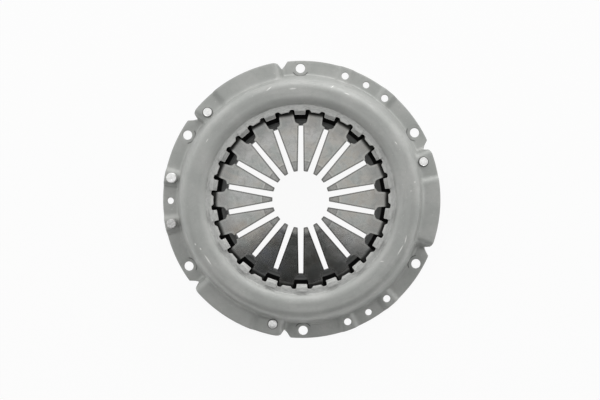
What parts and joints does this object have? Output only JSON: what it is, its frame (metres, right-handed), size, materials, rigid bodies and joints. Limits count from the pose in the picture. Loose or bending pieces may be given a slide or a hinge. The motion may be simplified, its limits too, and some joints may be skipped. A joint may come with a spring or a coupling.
{
  "type": "clutch pressure plate",
  "caption": "Diaphragm clutch cover assembly: domed steel pressing over a cast pressure plate, with a slotted diaphragm spring held by folded tabs, drive straps and rivets.",
  "frame": {"origin": "on the clutch axis in the plane where the flange meets the flywheel", "axes": "+Z along the clutch axis towards the gearbox and release bearing; +X through the middle of the first raised lobe"},
  "size_m": [0.2752, 0.278, 0.0433],
  "materials": {
    "pressed_cover": "phosphated pressed steel, satin, with handling scuffs on the dome",
    "cast_plate": "dark grey iron, as cast on the back, ground on the friction face",
    "diaphragm_steel": "shot-peened spring steel with faint blue and straw temper tints",
    "spring_wire": "drawn spring wire",
    "strap_steel": "rolled spring strip",
    "plated_rivet": "bright plated steel, satin"
  },
  "bodies": {
    "cover": {"cover_pressing": "pressed_cover", "fulcrum_wire": "spring_wire", "drive_strap_1_leaf_1": "strap_steel", "drive_strap_1_leaf_2": "strap_steel", "drive_strap_1_leaf_3": "strap_steel", "drive_strap_2_leaf_1": "strap_steel", "drive_strap_2_leaf_2": "strap_steel", "drive_strap_2_leaf_3": "strap_steel", "drive_strap_3_leaf_1": "strap_steel", "drive_strap_3_leaf_2": "strap_steel", "drive_strap_3_leaf_3": "strap_steel", "cover_strap_rivet_1": "plated_rivet", "cover_strap_rivet_2": "plated_rivet", "cover_strap_rivet_3": "plated_rivet", "balance_rivet_light": "plated_rivet", "balance_rivet_heavy": "plated_rivet"},
    "pressure_plate": {"pressure_plate": "cast_plate", "lug_strap_rivet_1": "plated_rivet", "lug_strap_rivet_2": "plated_rivet", "lug_strap_rivet_3": "plated_rivet", "lug_washer_1": "plated_rivet", "lug_washer_2": "plated_rivet", "lug_washer_3": "plated_rivet"},
    "finger_01": {"diaphragm_finger_01": "diaphragm_steel"},
    "finger_02": {"diaphragm_finger_02": "diaphragm_steel"},
    "finger_03": {"diaphragm_finger_03": "diaphragm_steel"},
    "finger_04": {"diaphragm_finger_04": "diaphragm_steel"},
    "finger_05": {"diaphragm_finger_05": "diaphragm_steel"},
    "finger_06": {"diaphragm_finger_06": "diaphragm_steel"},
    "finger_07": {"diaphragm_finger_07": "diaphragm_steel"},
    "finger_08": {"diaphragm_finger_08": "diaphragm_steel"},
    "finger_09": {"diaphragm_finger_09": "diaphragm_steel"},
    "finger_10": {"diaphragm_finger_10": "diaphragm_steel"},
    "finger_11": {"diaphragm_finger_11": "diaphragm_steel"},
    "finger_12": {"diaphragm_finger_12": "diaphragm_steel"},
    "finger_13": {"diaphragm_finger_13": "diaphragm_steel"},
    "finger_14": {"diaphragm_finger_14": "diaphragm_steel"},
    "finger_15": {"diaphragm_finger_15": "diaphragm_steel"},
    "finger_16": {"diaphragm_finger_16": "diaphragm_steel"},
    "finger_17": {"diaphragm_finger_17": "diaphragm_steel"},
    "finger_18": {"diaphragm_finger_18": "diaphragm_steel"}
  },
  "joints": [
    {"name": "plate_lift", "type": "slide", "parent": "cover", "child": "pressure_plate", "axis": [0, 0, 1], "range_m": [0, 0.0048], "stiffness_N_per_m": 60000, "deforming": ["drive_strap_1_leaf_1", "drive_strap_1_leaf_2", "drive_strap_1_leaf_3", "drive_strap_2_leaf_1", "drive_strap_2_leaf_2", "drive_strap_2_leaf_3", "drive_strap_3_leaf_1", "drive_strap_3_leaf_2", "drive_strap_3_leaf_3"]},
    {"name": "finger_01_tilt", "type": "hinge", "parent": "cover", "child": "finger_01", "pos_m": [0.0905, 0, 0.029], "axis": [0, -1, 0], "range_deg": [0, 16.77]},
    {"name": "finger_02_tilt", "type": "hinge", "parent": "cover", "child": "finger_02", "pos_m": [0.08504, 0.03095, 0.029], "axis": [0.342, -0.9397, 0], "range_deg": [0, 16.77]},
    {"name": "finger_03_tilt", "type": "hinge", "parent": "cover", "child": "finger_03", "pos_m": [0.06933, 0.05817, 0.029], "axis": [0.6428, -0.766, 0], "range_deg": [0, 16.77]},
    {"name": "finger_04_tilt", "type": "hinge", "parent": "cover", "child": "finger_04", "pos_m": [0.04525, 0.07838, 0.029], "axis": [0.866, -0.5, 0], "range_deg": [0, 16.77]},
    {"name": "finger_05_tilt", "type": "hinge", "parent": "cover", "child": "finger_05", "pos_m": [0.01571, 0.08912, 0.029], "axis": [0.9848, -0.1736, 0], "range_deg": [0, 16.77]},
    {"name": "finger_06_tilt", "type": "hinge", "parent": "cover", "child": "finger_06", "pos_m": [-0.01571, 0.08912, 0.029], "axis": [0.9848, 0.1736, 0], "range_deg": [0, 16.77]},
    {"name": "finger_07_tilt", "type": "hinge", "parent": "cover", "child": "finger_07", "pos_m": [-0.04525, 0.07838, 0.029], "axis": [0.866, 0.5, 0], "range_deg": [0, 16.77]},
    {"name": "finger_08_tilt", "type": "hinge", "parent": "cover", "child": "finger_08", "pos_m": [-0.06933, 0.05817, 0.029], "axis": [0.6428, 0.766, 0], "range_deg": [0, 16.77]},
    {"name": "finger_09_tilt", "type": "hinge", "parent": "cover", "child": "finger_09", "pos_m": [-0.08504, 0.03095, 0.029], "axis": [0.342, 0.9397, 0], "range_deg": [0, 16.77]},
    {"name": "finger_10_tilt", "type": "hinge", "parent": "cover", "child": "finger_10", "pos_m": [-0.0905, 0, 0.029], "axis": [0, 1, 0], "range_deg": [0, 16.77]},
    {"name": "finger_11_tilt", "type": "hinge", "parent": "cover", "child": "finger_11", "pos_m": [-0.08504, -0.03095, 0.029], "axis": [-0.342, 0.9397, 0], "range_deg": [0, 16.77]},
    {"name": "finger_12_tilt", "type": "hinge", "parent": "cover", "child": "finger_12", "pos_m": [-0.06933, -0.05817, 0.029], "axis": [-0.6428, 0.766, 0], "range_deg": [0, 16.77]},
    {"name": "finger_13_tilt", "type": "hinge", "parent": "cover", "child": "finger_13", "pos_m": [-0.04525, -0.07838, 0.029], "axis": [-0.866, 0.5, 0], "range_deg": [0, 16.77]},
    {"name": "finger_14_tilt", "type": "hinge", "parent": "cover", "child": "finger_14", "pos_m": [-0.01571, -0.08912, 0.029], "axis": [-0.9848, 0.1736, 0], "range_deg": [0, 16.77]},
    {"name": "finger_15_tilt", "type": "hinge", "parent": "cover", "child": "finger_15", "pos_m": [0.01571, -0.08912, 0.029], "axis": [-0.9848, -0.1736, 0], "range_deg": [0, 16.77]},
    {"name": "finger_16_tilt", "type": "hinge", "parent": "cover", "child": "finger_16", "pos_m": [0.04525, -0.07838, 0.029], "axis": [-0.866, -0.5, 0], "range_deg": [0, 16.77]},
    {"name": "finger_17_tilt", "type": "hinge", "parent": "cover", "child": "finger_17", "pos_m": [0.06933, -0.05817, 0.029], "axis": [-0.6428, -0.766, 0], "range_deg": [0, 16.77]},
    {"name": "finger_18_tilt", "type": "hinge", "parent": "cover", "child": "finger_18", "pos_m": [0.08504, -0.03095, 0.029], "axis": [-0.342, -0.9397, 0], "range_deg": [0, 16.77]}
  ],
  "couplings": [
    {"joint": "finger_01_tilt", "follows": "plate_lift", "rad_per_m": 60.606},
    {"joint": "finger_02_tilt", "follows": "plate_lift", "rad_per_m": 60.606},
    {"joint": "finger_03_tilt", "follows": "plate_lift", "rad_per_m": 60.606},
    {"joint": "finger_04_tilt", "follows": "plate_lift", "rad_per_m": 60.606},
    {"joint": "finger_05_tilt", "follows": "plate_lift", "rad_per_m": 60.606},
    {"joint": "finger_06_tilt", "follows": "plate_lift", "rad_per_m": 60.606},
    {"joint": "finger_07_tilt", "follows": "plate_lift", "rad_per_m": 60.606},
    {"joint": "finger_08_tilt", "follows": "plate_lift", "rad_per_m": 60.606},
    {"joint": "finger_09_tilt", "follows": "plate_lift", "rad_per_m": 60.606},
    {"joint": "finger_10_tilt", "follows": "plate_lift", "rad_per_m": 60.606},
    {"joint": "finger_11_tilt", "follows": "plate_lift", "rad_per_m": 60.606},
    {"joint": "finger_12_tilt", "follows": "plate_lift", "rad_per_m": 60.606},
    {"joint": "finger_13_tilt", "follows": "plate_lift", "rad_per_m": 60.606},
    {"joint": "finger_14_tilt", "follows": "plate_lift", "rad_per_m": 60.606},
    {"joint": "finger_15_tilt", "follows": "plate_lift", "rad_per_m": 60.606},
    {"joint": "finger_16_tilt", "follows": "plate_lift", "rad_per_m": 60.606},
    {"joint": "finger_17_tilt", "follows": "plate_lift", "rad_per_m": 60.606},
    {"joint": "finger_18_tilt", "follows": "plate_lift", "rad_per_m": 60.606}
  ]
}
